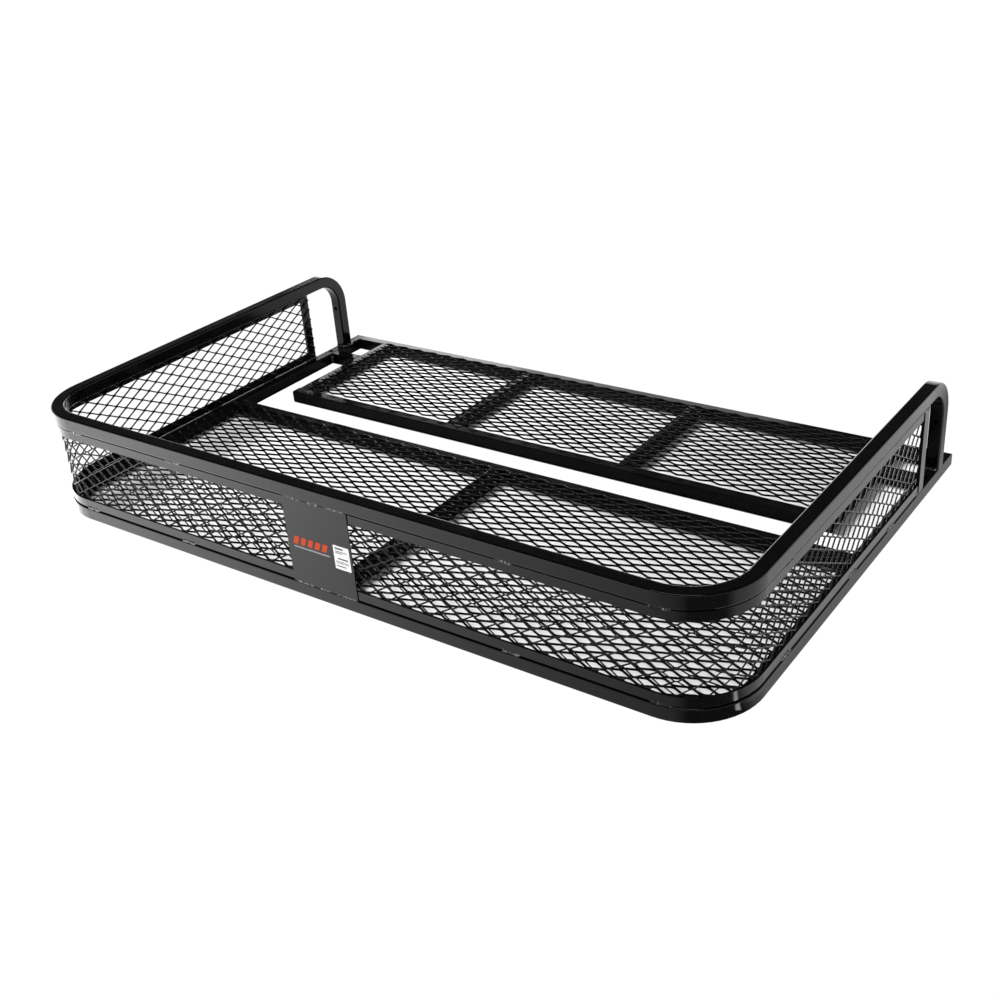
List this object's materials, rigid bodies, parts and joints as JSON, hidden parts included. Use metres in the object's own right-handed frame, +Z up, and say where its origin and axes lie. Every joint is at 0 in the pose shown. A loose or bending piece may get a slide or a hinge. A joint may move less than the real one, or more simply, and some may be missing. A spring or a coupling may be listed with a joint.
{
  "type": "cargo carrier basket",
  "caption": "Open-backed cargo carrier basket of welded square tube, with expanded-metal decks and walls, a level top rail ending in rear hoops, and a full-width slot between its two decks.",
  "frame": {"origin": "on the surface that the carrier stands on, below the middle of its plan", "axes": "+X to the right along the long side, +Y from the front wall with the nameplate to the open rear, +Z up"},
  "size_m": [1.086, 0.696, 0.159],
  "materials": {
    "tube_paint": "gloss black paint over steel tube",
    "flat_bar_paint": "gloss black paint over flat steel",
    "mesh_paint": "gloss black paint over expanded steel",
    "emblem_ink": "orange printed film",
    "label_stock": "white label stock"
  },
  "bodies": {
    "root": {"base_rail": "tube_paint", "rear_rail": "tube_paint", "front_deck_rear_bar": "tube_paint", "front_deck_center_bar": "tube_paint", "rear_deck_front_bar": "tube_paint", "rear_deck_left_bar": "tube_paint", "rear_deck_left_crossbar": "tube_paint", "rear_deck_right_crossbar": "tube_paint", "rear_deck_right_bar": "tube_paint", "left_tie_stub": "tube_paint", "right_tie_stub": "tube_paint", "top_rail": "tube_paint", "lower_band": "flat_bar_paint", "upper_band": "flat_bar_paint", "left_end_post": "flat_bar_paint", "right_end_post": "flat_bar_paint", "nameplate": "flat_bar_paint", "front_deck_mesh": "mesh_paint", "rear_deck_mesh": "mesh_paint", "front_wall_mesh": "mesh_paint", "left_wall_mesh": "mesh_paint", "right_wall_mesh": "mesh_paint", "left_corner_mesh": "mesh_paint", "right_corner_mesh": "mesh_paint", "emblem": "emblem_ink", "label": "label_stock"}
  },
  "joints": []
}
